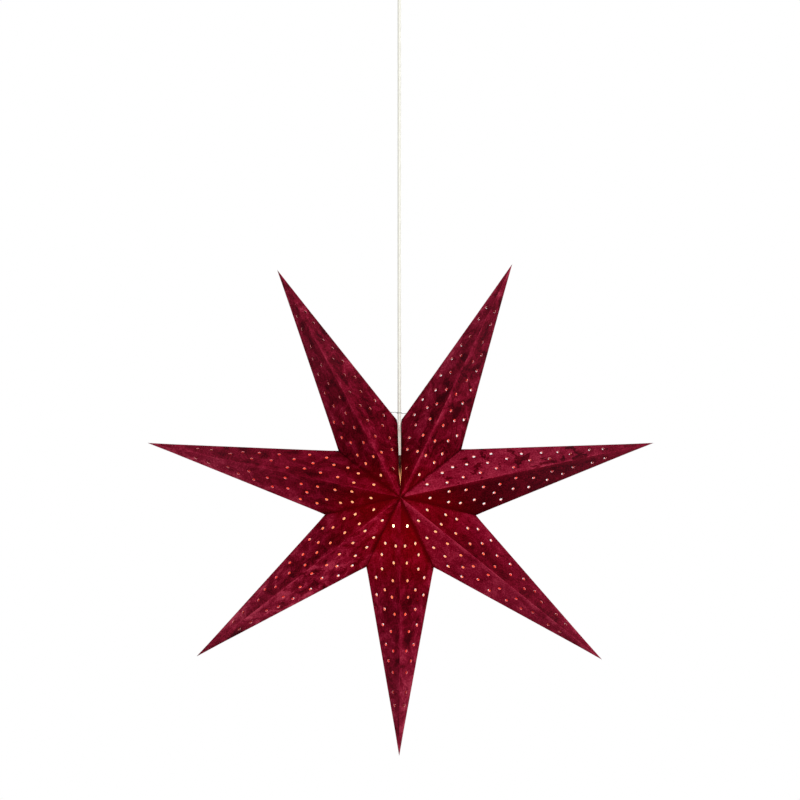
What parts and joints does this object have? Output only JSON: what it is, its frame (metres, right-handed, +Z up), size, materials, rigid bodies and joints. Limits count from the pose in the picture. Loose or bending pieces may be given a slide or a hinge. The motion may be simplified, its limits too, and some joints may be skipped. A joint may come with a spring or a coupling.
{
  "type": "star pendant light",
  "caption": "Pendant light with a folded, perforated velvet star shade round a bulb, hung on a straight white cord from a ceiling cup; swings, turns, and its bulb unscrews.",
  "frame": {"origin": "centre of the bracket's top face, on the ceiling plane", "axes": "+Z up into the ceiling, the star hangs below; the star's front faces -Y; +X to the right in the front view"},
  "size_m": [0.734, 0.1494, 1.175],
  "materials": {
    "velvet": "crushed velvet on paper",
    "hanger_steel": "drawn wire",
    "cup_white": "satin white",
    "zinc_steel": "zinc plated",
    "nylon_clear": "natural nylon",
    "nylon_white": "moulded white",
    "rubber_white": "soft white",
    "cord_white": "warm white sheath",
    "core_brown": "brown insulation",
    "core_blue": "blue insulation",
    "holder_black": "moulded black",
    "insert_white": "unglazed",
    "brass": "rolled",
    "bulb_nickel": "nickel plated",
    "bulb_solder": "tinned",
    "bulb_black": "vitrite",
    "bulb_glass": "clear glass",
    "filament": "phosphor coated"
  },
  "bodies": {
    "ceiling_fitting": {"ceiling_bracket": "zinc_steel", "ceiling_cup": "cup_white", "cup_screws": "zinc_steel", "terminal_block": "nylon_clear", "terminal_screws": "zinc_steel", "outlet_nipple": "nylon_white", "outlet_nut": "zinc_steel", "outlet_grip_screw": "nylon_white", "cord_tail": "cord_white", "tail_core_live": "core_brown", "tail_core_neutral": "core_blue"},
    "swing_bush": {"outlet_bush": "rubber_white"},
    "cord": {"cord": "cord_white"},
    "star": {"star_point_1": "velvet", "star_point_2": "velvet", "star_point_3": "velvet", "star_point_4": "velvet", "star_point_5": "velvet", "star_point_6": "velvet", "star_point_7": "velvet", "hanger_wire": "hanger_steel", "holder_cap": "holder_black", "holder_grip_screw": "holder_black", "holder_sleeve": "holder_black", "holder_insert": "insert_white", "holder_shell": "brass", "holder_contact": "brass", "holder_terminals": "brass", "holder_terminal_screws": "zinc_steel", "holder_core_live": "core_brown", "holder_core_neutral": "core_blue"},
    "bulb_contact": {"bulb_contact": "bulb_solder"},
    "bulb": {"bulb_insulator": "bulb_black", "bulb_cap": "bulb_nickel", "bulb_glass": "bulb_glass", "bulb_stem": "bulb_glass", "bulb_filaments": "filament"}
  },
  "joints": [
    {"name": "swing_sideways", "type": "hinge", "parent": "ceiling_fitting", "child": "swing_bush", "pos_m": [0, 0, -0.066], "axis": [0, 1, 0], "range_deg": [-20, 20]},
    {"name": "swing_fore_aft", "type": "hinge", "parent": "swing_bush", "child": "cord", "pos_m": [0, 0, -0.066], "axis": [1, 0, 0], "range_deg": [-20, 20]},
    {"name": "star_turn", "type": "hinge", "parent": "cord", "child": "star", "pos_m": [0, 0, -0.8], "axis": [0, 0, 1], "range_deg": [-180, 180]},
    {"name": "bulb_travel", "type": "slide", "parent": "star", "child": "bulb_contact", "axis": [0, 0, -1], "range_m": [0, 0.0141]},
    {"name": "bulb_screw", "type": "hinge", "parent": "bulb_contact", "child": "bulb", "pos_m": [0, 0, -0.8], "axis": [0, 0, -1], "range_deg": [0, 1800]}
  ],
  "couplings": [
    {"joint": "bulb_travel", "follows": "bulb_screw", "m_per_rad": 0.00044882}
  ]
}
